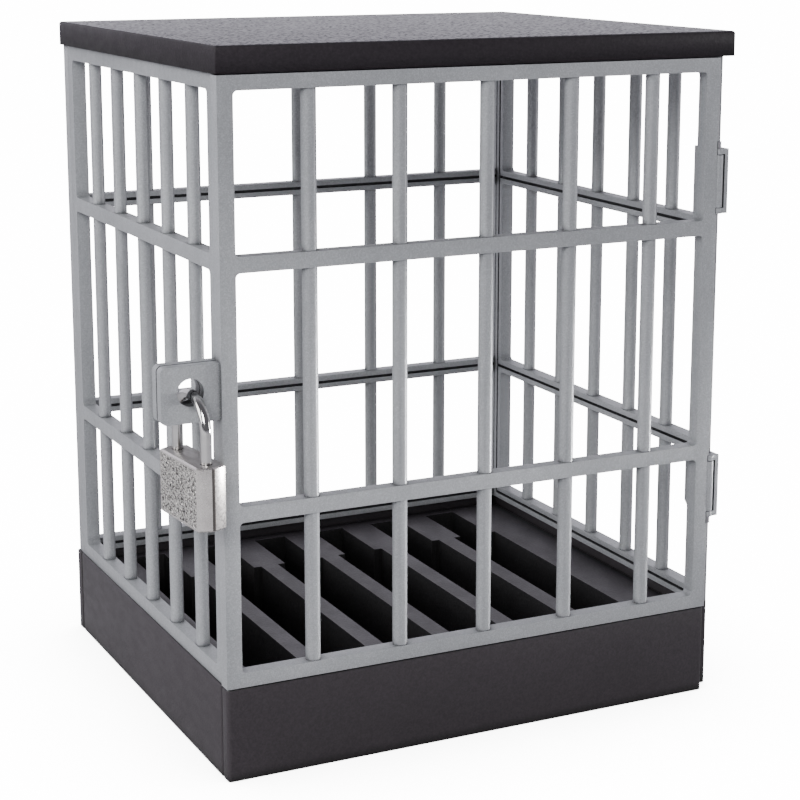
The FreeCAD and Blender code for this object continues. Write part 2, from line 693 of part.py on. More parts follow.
# Door: a grille with two hinge barrels at the right and the front lug of the hasp at the left
door_panel = place(
    grille("door", door_wide, d.door_gap, d.base_wide / 2 - front_pitch * (d.bar_count - 1) / 2, front_pitch),
    (left_x, front_y + d.wall / 2, d.base_high + d.door_gap),
)
hasp_front = front_y + d.hasp_setback
door_parts = [door_panel, hasp_lug("door_hasp_lug", hasp_front, left_x + d.hasp_round)]
door_bores = [hasp_hole("door_hasp_hole", hasp_front)]
for name, low_z in lugs.items():
    barrel_z = low_z + d.ear_high + d.ear_play
    barrel_high = d.lug_high - d.ear_high * 2 - d.ear_play * 2
    door_parts.append(rod(f"{name}_barrel", (hinge_x, hinge_y, barrel_z), d.barrel_dia, barrel_high))
    door_bores.append(rod(f"{name}_barrel_bore", (hinge_x, hinge_y, barrel_z), d.pin_dia + d.pin_play * 2, barrel_high))
for name, ear_z in ear_levels:
    way = d.ear_dia + d.ear_play * 2.5
    door_bores.append(rod(f"{name}_way", (hinge_x, hinge_y, ear_z - d.ear_play), way, d.ear_high + d.ear_play * 2))
for name, (low_z, long) in pins.items():
    way_z = low_z + d.lug_high if name == "upper" else low_z
    door_bores.append(rod(f"{name}_stub_way", (hinge_x, hinge_y, way_z), d.ear_dia + d.ear_play * 2.5, d.pin_stub + d.ear_play))
node(cut("door_drilled", fuse("door_joined", door_parts), door_bores), "door")

# Hinge pins, pressed into the ears, one end standing out
for name, (low_z, long) in pins.items():
    node(rod(f"{name}_pin", (hinge_x, hinge_y, low_z), d.pin_dia, long), f"hinge_pin_{name}")

# The padlock is laid out with its width along X, the short leg at +X, and the top of its body at Z = 0
half_wide, half_thick = d.lock_wide / 2, d.lock_thick / 2
flat_half, ridge_half = half_wide - d.bevel_long, half_thick - d.bevel_deep
lock_body = doc.addObject("PartDesign::Body", "lock_casting")
lock_outline = sketch_on(lock_body, "lock_outline", "XY_Plane", -d.lock_high)
draw_polygon(
    lock_outline,
    [
        (-half_wide, -ridge_half), (-flat_half, -half_thick), (flat_half, -half_thick), (half_wide, -ridge_half),
        (half_wide, ridge_half), (flat_half, half_thick), (-flat_half, half_thick), (-half_wide, ridge_half),
    ],
)
lock_pad = pad(lock_body, lock_outline, d.lock_high)
lock_bevel = lock_body.newObject("PartDesign::Chamfer", "lock_bevel")
lock_bevel.Base = (
    lock_pad,
    [
        f"Edge{n}"
        for n, edge in enumerate(lock_pad.Shape.Edges, 1)
        if abs(edge.Vertexes[0].Z - edge.Vertexes[-1].Z) < 1e-6
    ],
)
bind(lock_bevel, "Size", d.lock_edge)
doc.recompute()

leg = d.leg_pitch / 2
plug_x = -d.plug_shift
plug_top = d.plug_long - d.lock_high
cap_end = half_wide - d.cap_back
leg_bore, latch_bore = d.wire + d.lock_play * 2, d.latch_dia + d.lock_play * 2
plug_bore = d.plug_dia + d.lock_play * 2
latch_tip = leg - d.wire / 2 + d.latch_bite
latch_tail = latch_tip - d.latch_long
seat_end = latch_tail - d.latch_seat
chamber_start = plug_x + d.plug_dia / 2
driver_end = chamber_start + d.lock_play / 2 + d.driver_long
spring_end = driver_end + d.stack_spring
heel_stop_x = -leg + d.wire / 2 - d.stop_bite + d.stop_dia / 2
heel_stop_z = -d.heel_deep + d.release + d.stop_dia * 1.3
groove_z = plug_top - d.plug_groove_drop
groove_dia = d.plug_dia - d.plug_groove * 2
plug_stop_y = -groove_dia / 2 - d.lock_play - d.stop_dia / 2
plug_stop_start, plug_stop_end = plug_x - d.plug_dia / 2, half_wide - d.bevel_long * 0.7
tumbler_levels = [d.tumbler_rise + d.tumbler_pitch * row - d.lock_high for row in range(int(d.tumblers.value))]

lock_bores = [
    rod("heel_bore", (-leg, ZERO, -d.heel_deep - d.bore_spare), leg_bore, d.heel_deep + d.bore_spare),
    rod("toe_bore", (leg, ZERO, -d.toe_deep - d.bore_spare), leg_bore, d.toe_deep + d.bore_spare),
    rod("plug_bore", (plug_x, ZERO, -d.lock_high), plug_bore, d.plug_long + d.lock_play * 2),
    rod("cam_bore", (plug_x, ZERO, plug_top), (d.cam_radius * 2 + d.cam_dia + d.fit * 2), -d.latch_deep - plug_top),
    rod("latch_bore", (seat_end, ZERO, -d.latch_deep), latch_bore, half_wide - seat_end, "right"),
    rod("plug_stop_bore", (plug_stop_start, plug_stop_y, groove_z), d.stop_dia, half_wide - plug_stop_start, "right"),
    rod("heel_stop_bore", (heel_stop_x, -half_thick, heel_stop_z), d.stop_dia, half_thick + d.wire / 2, "back"),
]
for row, z in enumerate(tumbler_levels, start=1):
    lock_bores.append(rod(f"chamber_{row}", (plug_x, ZERO, z), d.chamber_dia, half_wide - plug_x, "right"))
lock_placement_base = (
    left_x - d.lock_reach,
    front_y + d.lock_depth,
    d.base_high + d.hasp_rise + d.hole_rise - d.hasp_hole / 2 + d.lock_lift + d.wire / 2 - d.shackle_rise,
)


def lock_node(thing, label):
    """Names a padlock piece and hangs it in the hasp."""
    place(thing, lock_placement_base, Rotation(UP, d.lock_turn.value))
    bind(thing, "Placement.Rotation.Angle", d.lock_turn)
    return node(thing, label)


lock_node(cut("lock_drilled", lock_body, lock_bores), "padlock_body")

# Shackle: a half ring on two legs. The short leg has a ramped notch for the latch, the long leg a flat and a neck
# for its retaining pin.
ring = doc.addObject("Part::Torus", "shackle_bend")
bind(ring, "Radius1", leg)
bind(ring, "Radius2", d.wire / 2)
ring.Angle3 = 180
bend_z = d.shackle_rise - leg
place(ring, (ZERO, ZERO, bend_z), Rotation(RIGHT, 90))
legs = fuse(
    "shackle_blank",
    [
        ring,
        rod("heel_leg", (-leg, ZERO, -d.heel_deep), d.wire, d.heel_deep + bend_z),
        rod("toe_leg", (leg, ZERO, -d.toe_deep), d.wire, d.toe_deep + bend_z),
    ],
)
ramp = d.latch_travel / d.release
notch_top = -d.latch_deep + d.latch_dia / 2 + d.lock_play
notch_depth = latch_tip + d.lock_play
ramp_foot = notch_top - (notch_depth - leg + d.wire / 2 + d.lock_play) / ramp
toe_notch = prism(
    "toe_notch",
    "XZ_Plane",
    [
        (leg - d.wire / 2 - d.lock_play, ramp_foot),
        (notch_depth, notch_top),
        (leg - d.wire, notch_top),
        (leg - d.wire, ramp_foot),
    ],
    ZERO,
    d.wire * 1.5,
)
flat_low = -d.heel_deep + d.stop_dia * 0.7
flat_high = heel_stop_z + d.stop_dia * 0.7
flat_x = -leg + d.wire / 2 - d.stop_bite - d.lock_play
heel_flat = box("heel_flat", (flat_x, -d.wire / 2, flat_low), (d.wire, d.wire, flat_high - flat_low))
neck_high = d.stop_dia * 1.2
neck_ring = rod("neck_ring", (-leg, ZERO, flat_low), d.wire * 1.5, neck_high)
neck_core = rod("neck_core", (-leg, ZERO, flat_low), (flat_x + leg) * 2, neck_high)
neck_cut = cut("neck_cut", neck_ring, [neck_core])
lock_node(cut("shackle_turned", legs, [toe_notch, heel_flat, neck_cut]), "shackle")

# Key plug, with its cam pin, keyway, tumbler bores and retaining groove
cam_angle = math.radians(45)
cam_x = plug_x + d.cam_radius * math.sin(cam_angle)
cam_y = d.cam_radius * math.cos(cam_angle)
latch_low = -d.latch_deep - d.latch_dia / 2
plug_parts = [
    rod("plug_barrel", (plug_x, ZERO, -d.lock_high), d.plug_dia, d.plug_long),
    rod("plug_cam", (cam_x, cam_y, plug_top), d.cam_dia, latch_low + d.latch_slot_deep - d.fit - plug_top),
]
plug_cuts = [
    box(
        "keyway",
        (plug_x - d.keyway_high / 2, -d.keyway_wide / 2, -d.lock_high),
        (d.keyway_high, d.keyway_wide, d.keyway_long),
    )
]
for row, z in enumerate(tumbler_levels, start=1):
    plug_cuts.append(rod(f"plug_chamber_{row}", (plug_x, ZERO, z), d.chamber_dia, d.plug_dia, "right"))
groove_high = d.stop_dia + d.fit
groove_ring = rod("plug_groove_ring", (plug_x, ZERO, groove_z - groove_high / 2), d.plug_dia * 1.2, groove_high)
groove_core = rod("plug_groove_core", (plug_x, ZERO, groove_z - groove_high / 2), groove_dia, groove_high)
plug_cuts.append(cut("plug_groove_cut", groove_ring, [groove_core]))
lock_node(cut("plug_milled", fuse("plug_blank", plug_parts), plug_cuts), "key_plug")

# Latch bolt: its nose is sloped like the notch it fits, and a slot underneath takes the plug's cam
bolt = rod("bolt_blank", (latch_tail, ZERO, -d.latch_deep), d.latch_dia, d.latch_long, "right")
nose = prism(
    "bolt_nose",
    "XZ_Plane",
    [
        (latch_tip, notch_top),
        (latch_tip - d.latch_dia * 1.2 * ramp, notch_top - d.latch_dia * 1.2),
        (latch_tip + d.latch_dia, notch_top - d.latch_dia * 1.2),
        (latch_tip + d.latch_dia, notch_top),
    ],
    ZERO,
    d.latch_dia * 1.2,
)
cam_slot = box(
    "bolt_slot",
    (cam_x - d.latch_slot / 2, -d.latch_dia / 2, latch_low),
    (d.latch_slot, d.latch_dia, d.latch_slot_deep),
)
lock_node(cut("bolt_cut", bolt, [nose, cam_slot]), "latch_bolt")


def coil(label, start, z, long, outer_dia):
    """A small open spring along X, wound from the sheet's wire."""
    helix = doc.addObject("Part::Helix", label + "_path")
    bind(helix, "Pitch", d.coil_pitch)
    bind(helix, "Height", long - d.spring_wire * 1.4)
    bind(helix, "Radius", outer_dia / 2 - d.spring_wire / 2)
    helix.SegmentLength = 0
    section = doc.addObject("Part::RegularPolygon", label + "_section")
    section.Polygon = 6
    bind(section, "Circumradius", d.spring_wire / 2)
    place(section, (outer_dia / 2 - d.spring_wire / 2, ZERO, ZERO), Rotation(RIGHT, 90))
    sweep = doc.addObject("Part::Sweep", label)
    sweep.Sections = [section]
    sweep.Spine = (helix, ["Edge1"])
    sweep.Solid = True
    sweep.Frenet = True
    doc.recompute()
    sweep.Spine = (helix, [f"Edge{n}" for n in range(1, len(helix.Shape.Edges) + 1)])
    doc.recompute()
    return place(sweep, (start + d.spring_wire * 0.7, ZERO, z), ALONG["right"])


lock_node(
    group("latch_spring_set", [coil("latch_coil", seat_end, -d.latch_deep, d.latch_seat, d.latch_dia * 0.85)]),
    "latch_spring",
)

# Tumblers, level with the plug's surface as when the key is in
tumbler_dia = d.chamber_dia - d.lock_play * 2
key_pins, drivers, springs, caps = [], [], [], []
for row, z in enumerate(tumbler_levels, start=1):
    key_pins.append(
        rod(f"key_pin_{row}", (chamber_start - d.shear_gap - d.key_pin_long, ZERO, z), tumbler_dia, d.key_pin_long, "right")
    )
    drivers.append(rod(f"driver_{row}", (driver_end - d.driver_long, ZERO, z), tumbler_dia, d.driver_long, "right"))
    springs.append(coil(f"tumbler_coil_{row}", driver_end, z, d.stack_spring, d.chamber_dia * 0.85))
    caps.append(rod(f"cap_{row}", (spring_end, ZERO, z), d.chamber_dia, cap_end - spring_end, "right"))
latch_cap_start = leg + leg_bore / 2
caps.append(rod("latch_cap", (latch_cap_start, ZERO, -d.latch_deep), latch_bore, cap_end - latch_cap_start, "right"))
lock_node(group("key_pin_set", key_pins), "key_pins")
lock_node(group("driver_set", drivers), "driver_pins")
lock_node(group("tumbler_spring_set", springs), "pin_springs")
lock_node(group("cap_set", caps), "chamber_caps")

# Two pins keep the plug and the long leg in the body
lock_node(
    group(
        "stop_set",
        [
            rod("plug_stop", (plug_stop_start, plug_stop_y, groove_z), d.stop_dia, plug_stop_end - plug_stop_start, "right"),
            rod("heel_stop", (heel_stop_x, -half_thick, heel_stop_z), d.stop_dia, half_thick + d.wire / 2, "back"),
        ],
    ),
    "retaining_pins",
)

doc.recompute()
for thing in doc.Objects:
    if "Invalid" in thing.State or "Error" in thing.State:
        raise ValueError(f"{thing.Label}: {thing.State}")
os.makedirs("parts", exist_ok=True)
for piece in nodes:
    if piece.Shape.isNull() or not piece.Shape.isValid():
        raise ValueError(f"{piece.Label}: the shape is not valid")
    piece.Shape.exportStep(f"parts/{piece.Label}.step")
    low = high = piece.Shape.BoundBox
    print(
        f"{piece.Label:18s} solids {len(piece.Shape.Solids):2d}  volume {piece.Shape.Volume:10.1f}  "
        f"x {low.XMin:8.2f} {high.XMax:8.2f}  y {low.YMin:8.2f} {high.YMax:8.2f}  z {low.ZMin:8.2f} {high.ZMax:8.2f}"
    )
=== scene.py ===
"""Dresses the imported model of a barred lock-up cage: soft edges on the mouldings, slotted screws, a cast and plated
padlock, procedural plastics and metals, the photograph's camera and soft studio light. Metres, in the model's frame."""
import json
import math

import bmesh
import bpy
from mathutils import Matrix, Vector


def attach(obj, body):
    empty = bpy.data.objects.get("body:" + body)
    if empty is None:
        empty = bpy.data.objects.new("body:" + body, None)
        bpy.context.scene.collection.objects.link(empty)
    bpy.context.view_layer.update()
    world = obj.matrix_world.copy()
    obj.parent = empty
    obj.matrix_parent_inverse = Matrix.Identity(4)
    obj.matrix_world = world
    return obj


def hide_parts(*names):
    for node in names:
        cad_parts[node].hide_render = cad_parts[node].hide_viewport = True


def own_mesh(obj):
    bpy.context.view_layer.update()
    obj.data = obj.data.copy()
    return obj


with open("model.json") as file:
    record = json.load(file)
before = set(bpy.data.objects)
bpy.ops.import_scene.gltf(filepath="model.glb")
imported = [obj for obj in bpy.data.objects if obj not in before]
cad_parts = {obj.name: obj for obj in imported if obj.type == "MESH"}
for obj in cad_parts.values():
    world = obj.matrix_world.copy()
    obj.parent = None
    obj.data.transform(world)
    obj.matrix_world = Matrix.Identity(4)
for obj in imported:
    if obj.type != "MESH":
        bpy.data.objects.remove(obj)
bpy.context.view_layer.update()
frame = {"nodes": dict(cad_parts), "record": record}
scene = bpy.context.scene

# Camera: it stands where the photograph's was, a little left of the padlock and above the roof. Its place comes from
# straight edges of the photograph and the object's real sizes.
camera = bpy.data.objects.new("camera", bpy.data.cameras.new("camera"))
scene.collection.objects.link(camera)
yaw, pitch = math.radians(25.928), math.radians(-11.411)
forward = Vector((math.sin(yaw) * math.cos(pitch), math.cos(yaw) * math.cos(pitch), math.sin(pitch)))
right = Vector((math.cos(yaw), -math.sin(yaw), 0))
turn = Matrix((right, right.cross(forward), -forward)).transposed().to_4x4()
camera.matrix_world = Matrix.Translation((-0.24237, -0.51012, 0.21700)) @ turn
camera.data.lens = 88.917
camera.data.sensor_width = 36
camera.data.shift_y = -0.1
camera.data.clip_start, camera.data.clip_end = 0.01, 20
scene.camera = camera


# Base: four black plates, moulded in grained plastic, that stand round the rack on a bottom tray. Their upright corners
# are the roundest, which leaves a groove where two plates meet, dark from its own shade and from painted shade.
MM = 0.001
PLATE_ROUND = 1.2 * MM
PLATE_BLACK = (0.032, 0.026, 0.031)
TRAY_BLACK = (0.018, 0.014, 0.018)


class Nodes:
    """A node tree, with short ways to add and join its nodes."""

    def __init__(self, tree):
        self.tree = tree

    def add(self, kind, inputs=(), **settings):
        node = self.tree.nodes.new(kind)
        for key, value in settings.items():
            setattr(node, key, value)
        for key, value in dict(inputs).items():
            self.put(value, node.inputs[key])
        return node

    def put(self, value, socket):
        """Joins a node's output to a socket, or sets the socket to a value."""
        if isinstance(value, bpy.types.Node):
            value = value.outputs[0]
        if isinstance(value, bpy.types.NodeSocket):
            self.tree.links.new(value, socket)
        else:
            socket.default_value = value

    def ramp(self, value, *stops):
        """Colours or greys along a value."""
        node = self.add("ShaderNodeValToRGB", {"Fac": value})
        elements = node.color_ramp.elements
        while len(elements) < len(stops):
            elements.new(0.5)
        for element, (position, colour) in zip(elements, stops):
            element.position = position
            element.color = (*colour, 1) if isinstance(colour, tuple) else (colour, colour, colour, 1)
        return node

    def mix(self, factor, one, other, blend="MIX"):
        """Two colours mixed: sockets 6 and 7 of the node take colours, and its output 2 gives one."""
        node = self.add("ShaderNodeMix", {0: factor, 6: one, 7: other}, data_type="RGBA", blend_type=blend)
        return node.outputs[2]

    def calc(self, operation, one, other):
        return self.add("ShaderNodeMath", {0: one, 1: other}, operation=operation)

    def texture(self, kind, scale, stretch=(1, 1, 1), **inputs):
        """A texture that keeps its place on the object, with its scale per metre."""
        where = self.add("ShaderNodeTexCoord").outputs["Object"]
        spread = self.add("ShaderNodeMapping", {"Vector": where, "Scale": stretch})
        return self.add(kind, {"Vector": spread, "Scale": scale, **inputs})


class Finish(Nodes):
    """A new material, with its Principled shader at hand."""

    def __init__(self, name):
        self.material = bpy.data.materials.new(name)
        self.material.use_nodes = True
        super().__init__(self.material.node_tree)
        self.shader = self.tree.nodes["Principled BSDF"].inputs

    def link(self, **values):
        """Feeds the shader's sockets, which are named with underscores for spaces."""
        for key, value in values.items():
            self.put(value, self.shader[key.replace("_", " ")])

    def bump(self, height, depth):
        self.put(self.add("ShaderNodeBump", {"Height": height, "Distance": depth}), self.shader["Normal"])

    def group(self, group, **values):
        """A shader node group placed in the material with its own values."""
        node = self.add("ShaderNodeGroup", node_tree=group)
        for key, value in values.items():
            self.put(value, node.inputs[key.replace("_", " ")])
        return node.outputs


def new_group(name, kind, inputs, outputs):
    """A node group with named sockets: its nodes, and the nodes that hold its inputs and outputs."""
    tree = bpy.data.node_groups.new(name, kind)
    for label, socket_type, value in inputs:
        socket = tree.interface.new_socket(label, in_out="INPUT", socket_type="NodeSocket" + socket_type)
        if value is not None:
            socket.default_value = value
    for label, socket_type in outputs:
        tree.interface.new_socket(label, in_out="OUTPUT", socket_type="NodeSocket" + socket_type)
    nodes = Nodes(tree)
    return nodes, nodes.add("NodeGroupInput"), nodes.add("NodeGroupOutput")


def moulded_grain():
    """Spark-eroded grain of moulded plastic: broad patches, fine specks, soft rubbed marks and the grain's height."""
    nodes, given, made = new_group(
        "moulded_grain",
        "ShaderNodeTree",
        [("Scale", "Float", 1500.0), ("Cell Scale", "Float", 1200.0), ("Mark Scale", "Float", 150.0)],
        [("Patches", "Float"), ("Specks", "Float"), ("Marks", "Float"), ("Height", "Color")],
    )
    patches = nodes.texture("ShaderNodeTexNoise", 38, Detail=3, Roughness=0.55)
    specks = nodes.texture("ShaderNodeTexNoise", given.outputs["Scale"], Detail=5, Roughness=0.62)
    cells = nodes.texture("ShaderNodeTexVoronoi", given.outputs["Cell Scale"])
    marks = nodes.texture("ShaderNodeTexNoise", given.outputs["Mark Scale"], (1, 1, 2.5), Detail=2, Roughness=0.5)
    nodes.put(patches, made.inputs["Patches"])
    nodes.put(specks, made.inputs["Specks"])
    nodes.put(marks, made.inputs["Marks"])
    nodes.put(nodes.mix(0.4, specks, cells.outputs["Distance"]), made.inputs["Height"])
    return nodes.tree


def painted_crevice_shade():
    """Where a surface lies open or shut in: 1 on open faces, towards 0 in gaps and inside corners. Materials darken
    their colour by it, as painted shade.
    """
    nodes, given, made = new_group("painted_crevice_shade", "ShaderNodeTree", [("Reach", "Float", 0.003)], [("Open", "Float")])
    hollow_shade = nodes.add("ShaderNodeAmbientOcclusion", {"Distance": given.outputs["Reach"]}, samples=6)
    nodes.put(hollow_shade.outputs["AO"], made.inputs["Open"])
    return nodes.tree


GRAIN, CREVICE_SHADE = moulded_grain(), painted_crevice_shade()


def grained_plastic(name, colour, grain_scale, grain_depth, roughness, patch=0.12, gloss=0.5):
    """Moulded black plastic with a fine grain, a faint unevenness of colour, rubbed marks, and painted shade that
    darkens its crevices.
    """
    m = Finish(name)
    grain = m.group(GRAIN, Scale=grain_scale, Cell_Scale=grain_scale * 0.8)
    low, high = tuple(c * (1 - patch) for c in colour), tuple(c * (1 + patch) for c in colour)
    tone = m.ramp(grain["Patches"], (0.3, low), (0.72, high))
    specks = m.ramp(grain["Specks"], (0.36, 0.72), (0.64, 1.26))
    grained = m.mix(0.75, tone, specks, "MULTIPLY")
    # Gaps and inside corners are darkened in the colour: painted shade.
    painted_shade = m.ramp(m.group(CREVICE_SHADE, Reach=0.003)["Open"], (0.55, 0.04), (0.95, 1.0))
    m.link(Base_Color=m.mix(1.0, grained, painted_shade, "MULTIPLY"))
    m.link(Roughness=m.ramp(grain["Marks"], (0.35, roughness - 0.03), (0.7, roughness + 0.05)))
    m.link(Specular_IOR_Level=gloss)
    m.bump(grain["Height"], grain_depth)
    return m.material


def finish(node, material):
    """Gives a CAD node, which keeps its own shape, its material."""
    slots = frame["nodes"][node].data.materials
    slots.clear()
    slots.append(material)


def adopt(piece, node):
    """Makes a piece stand for a CAD node: it moves with the node's body, and the node is hidden."""
    bodies = frame["record"]["behaviour"]["bodies"]
    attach(piece, next(body for body, nodes in bodies.items() if node in nodes))
    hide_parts(node)


def settled(piece):
    """Turns a piece's modifiers into its mesh, and removes them."""
    bpy.context.view_layer.update()
    shaped = bpy.data.meshes.new_from_object(piece.evaluated_get(bpy.context.evaluated_depsgraph_get()))
    piece.modifiers.clear()
    piece.data = shaped
    shaped.shade_smooth()
    shaped.set_sharp_from_angle(angle=math.radians(50))


WELD = 0.002 * MM  # corners closer than this are one corner
FLAT = math.radians(0.8)  # faces that meet at less than this are one face


def softened(node, material, radius, segments=3, angle=35, share=lambda middle: 1):
    """A node's own shape as a new piece with its sharp edges rounded, in place of the plain node. The share says how
    much of the radius an edge gets, by where its middle is."""
    finish(node, material)
    mesh = bpy.data.meshes.new(node + "_soft")
    bm = bmesh.new()
    bm.from_mesh(frame["nodes"][node].data)
    bmesh.ops.remove_doubles(bm, verts=bm.verts, dist=WELD)
    bmesh.ops.dissolve_limit(bm, angle_limit=FLAT, verts=bm.verts, edges=bm.edges)
    weight = bm.edges.layers.float.new("bevel_weight_edge")
    for edge in bm.edges:
        if edge.calc_face_angle(0) > math.radians(angle):
            edge[weight] = share((edge.verts[0].co + edge.verts[1].co) / 2)
    bm.to_mesh(mesh)
    bm.free()
    piece = bpy.data.objects.new(node + "_soft", mesh)
    scene.collection.objects.link(piece)
    bevel = piece.modifiers.new("edges", "BEVEL")
    bevel.width, bevel.segments = radius, segments
    bevel.limit_method = "WEIGHT"
    bevel.use_clamp_overlap = True
    settled(piece)
    piece.data.materials.clear()
    piece.data.materials.append(material)
    adopt(piece, node)
    return piece


def box_of(node):
    """A node's lowest and highest corners at rest."""
    corners = frame["nodes"][node].bound_box
    return Vector(corners[0]), Vector(corners[6])


NEAR = 0.1 * MM  # an edge this close to a face of its piece lies on it


def plate_share(middle, node):
    """Round on a plate's upright outer corners, soft on its other edges."""
    low, high = box_of(node)
    outside_x = min(middle.x - low.x, high.x - middle.x) < NEAR
    outside_y = min(middle.y - low.y, high.y - middle.y) < NEAR
    return 1 if outside_x and outside_y else 0.4


plate_plastic = grained_plastic(
    "dark_plastic", PLATE_BLACK, grain_scale=1900, grain_depth=0.00005, roughness=0.5, patch=0.08
)
for plate in ("base_front_plate", "base_back_plate", "base_left_plate", "base_right_plate"):
    softened(plate, plate_plastic, PLATE_ROUND, 4, share=lambda middle: plate_share(middle, plate))
tray_plastic = grained_plastic("tray_plastic", TRAY_BLACK, grain_scale=1500, grain_depth=0.00008, roughness=0.55)
finish("base_tray", tray_plastic)


# Rack: one black moulding with six stepped slots, lifted into the base from below. Its tops are grained, and the slots'
# smooth walls and floors are given a far darker copy of its plastic, as painted shade.
RACK_GREY = (0.045, 0.04, 0.047)
SLOT_SHADE = (0.0045, 0.004, 0.0045)
RACK_ROUND = 0.4 * MM


def second_finish(piece, material, chosen):
    """Gives the chosen faces of a piece another material."""
    piece.data.materials.append(material)
    for face in piece.data.polygons:
        if chosen(face):
            face.material_index = 1


rack_plastic = grained_plastic(
    "rack_plastic", RACK_GREY, grain_scale=1500, grain_depth=0.0001, roughness=0.46, patch=0.14
)
rack = softened("phone_rack", rack_plastic, RACK_ROUND, 2)
# The slots' walls and floors are painted nearly black: painted shade.
slot_plastic = grained_plastic(
    "slot_plastic", SLOT_SHADE, grain_scale=1500, grain_depth=0.00008, roughness=0.6, patch=0.14, gloss=0.3
)
below_top = box_of("phone_rack")[1].z - 1 * MM
second_finish(rack, slot_plastic, lambda face: abs(face.normal.z) < 0.5 or face.center.z < below_top)


# Tray screws: six small countersunk steel screws with rolled threads and a straight slot, driven up through the tray
# into the rack's ribs. They are one screw, made from its sizes and set out in two rows of three.
SCREW = {"Head": 3.6 * MM, "Shank": 2.0 * MM, "Length": 9.0 * MM, "Pitch": 0.55 * MM, "Slot": 0.6 * MM}
STEEL = (0.42, 0.42, 0.44)


def drawn_grain():
    """The faint lines that drawing, turning or grinding leaves on a metal, with broad patches of tone."""
    nodes, given, made = new_group(
        "drawn_grain",
        "ShaderNodeTree",
        [("Scale", "Float", 1600.0), ("Stretch", "Vector", (1, 1, 1))],
        [("Patches", "Float"), ("Lines", "Float")],
    )
    patches = nodes.texture("ShaderNodeTexNoise", 120, Detail=3, Roughness=0.6)
    lines = nodes.texture(
        "ShaderNodeTexNoise", given.outputs["Scale"], given.outputs["Stretch"], Detail=3, Roughness=0.55
    )
    nodes.put(patches, made.inputs["Patches"])
    nodes.put(lines, made.inputs["Lines"])
    return nodes.tree


DRAWN = drawn_grain()


def metal(name, colour, roughness, grain_depth=0.00001, scale=1600, stretch=(1, 1, 1)):
    """Plain metal with a faint grain, and painted shade that darkens its crevices."""
    m = Finish(name)
    drawn = m.group(DRAWN, Scale=scale, Stretch=stretch)
    dark, light = tuple(c * 0.82 for c in colour), tuple(min(c * 1.08, 1) for c in colour)
    tone = m.ramp(drawn["Patches"], (0.3, dark), (0.7, light))
    # Gaps and inside corners are darkened in the colour: painted shade.
    painted_shade = m.ramp(m.group(CREVICE_SHADE, Reach=0.0008)["Open"], (0.3, 0.12), (0.8, 1.0))
    m.link(Base_Color=m.mix(1.0, tone, painted_shade, "MULTIPLY"), Metallic=1.0)
    m.link(Roughness=m.ramp(drawn["Lines"], (0.3, max(roughness - 0.06, 0.02)), (0.7, roughness + 0.08)))
    m.bump(drawn["Lines"], grain_depth)
    return m.material


def raised(nodes, shape, up):
    """A shape in a geometry node tree, moved up."""
    offset = nodes.add("ShaderNodeCombineXYZ", {"Z": up})
    return nodes.add("GeometryNodeTransform", {"Geometry": shape, "Translation": offset})


def screw_tree(material):
    """Geometry nodes for rows of slotted countersunk screws, points up, heads at the level of the origin."""
    sizes = [(label, "Float", value) for label, value in SCREW.items()]
    sizes += [("Wide", "Float", 0.12), ("Deep", "Float", 0.118)]
    nodes, given, made = new_group("slotted_screws", "GeometryNodeTree", sizes, [("Geometry", "Geometry")])
    calc = nodes.calc
    head_radius = calc("MULTIPLY", given.outputs["Head"], 0.5)
    shank_radius = calc("MULTIPLY", given.outputs["Shank"], 0.5)
    core_radius = calc("MULTIPLY", given.outputs["Shank"], 0.4)
    head_high = calc("SUBTRACT", head_radius, shank_radius)
    thread_long = calc("SUBTRACT", given.outputs["Length"], calc("MULTIPLY", head_high, 1.5))
    cone = nodes.add(
        "GeometryNodeMeshCone",
        {"Vertices": 32, "Radius Top": shank_radius, "Radius Bottom": head_radius, "Depth": head_high},
    )
    core = nodes.add(
        "GeometryNodeMeshCylinder", {"Vertices": 24, "Radius": core_radius, "Depth": given.outputs["Length"]}
    )
    blank = nodes.add("GeometryNodeJoinGeometry")
    nodes.put(raised(nodes, core, calc("MULTIPLY", given.outputs["Length"], 0.5)), blank.inputs[0])
    nodes.put(cone.outputs["Mesh"], blank.inputs[0])
    slot_long = calc("MULTIPLY", given.outputs["Head"], 0.7)
    slot_deep = calc("MULTIPLY", given.outputs["Slot"], 2.0)
    slot_size = nodes.add("ShaderNodeCombineXYZ", {"X": slot_long, "Y": given.outputs["Slot"], "Z": slot_deep})
    slot = nodes.add("GeometryNodeMeshCube", {"Size": slot_size})
    cut = {"operation": "DIFFERENCE", "solver": "EXACT"}
    drilled = nodes.add("GeometryNodeMeshBoolean", {"Mesh 1": blank, "Self Intersection": True}, **cut)
    nodes.put(slot.outputs["Mesh"], drilled.inputs["Mesh 2"])

    turns = calc("DIVIDE", thread_long, given.outputs["Pitch"])
    helix = nodes.add(
        "GeometryNodeCurveSpiral",
        {
            "Resolution": 20,
            "Rotations": turns,
            "Start Radius": core_radius,
            "End Radius": core_radius,
            "Height": thread_long,
        },
    )
    ridge_radius = calc("MULTIPLY", given.outputs["Shank"], 0.1)
    ridge = nodes.add("GeometryNodeCurvePrimitiveCircle", {"Resolution": 4, "Radius": ridge_radius})
    thread = nodes.add("GeometryNodeCurveToMesh", {"Curve": helix, "Profile Curve": ridge, "Fill Caps": True})
    screw = nodes.add("GeometryNodeJoinGeometry")
    nodes.put(raised(nodes, thread, calc("MULTIPLY", head_high, 1.2)), screw.inputs[0])
    nodes.put(drilled.outputs["Mesh"], screw.inputs[0])

    spots = nodes.add(
        "GeometryNodeMeshGrid",
        {"Size X": given.outputs["Wide"], "Size Y": given.outputs["Deep"], "Vertices X": 3, "Vertices Y": 2},
    )
    placed = nodes.add("GeometryNodeInstanceOnPoints", {"Points": spots, "Instance": screw})
    real = nodes.add("GeometryNodeRealizeInstances", {"Geometry": placed})
    nodes.put(nodes.add("GeometryNodeSetMaterial", {"Geometry": real, "Material": material}), made.inputs[0])
    return nodes.tree


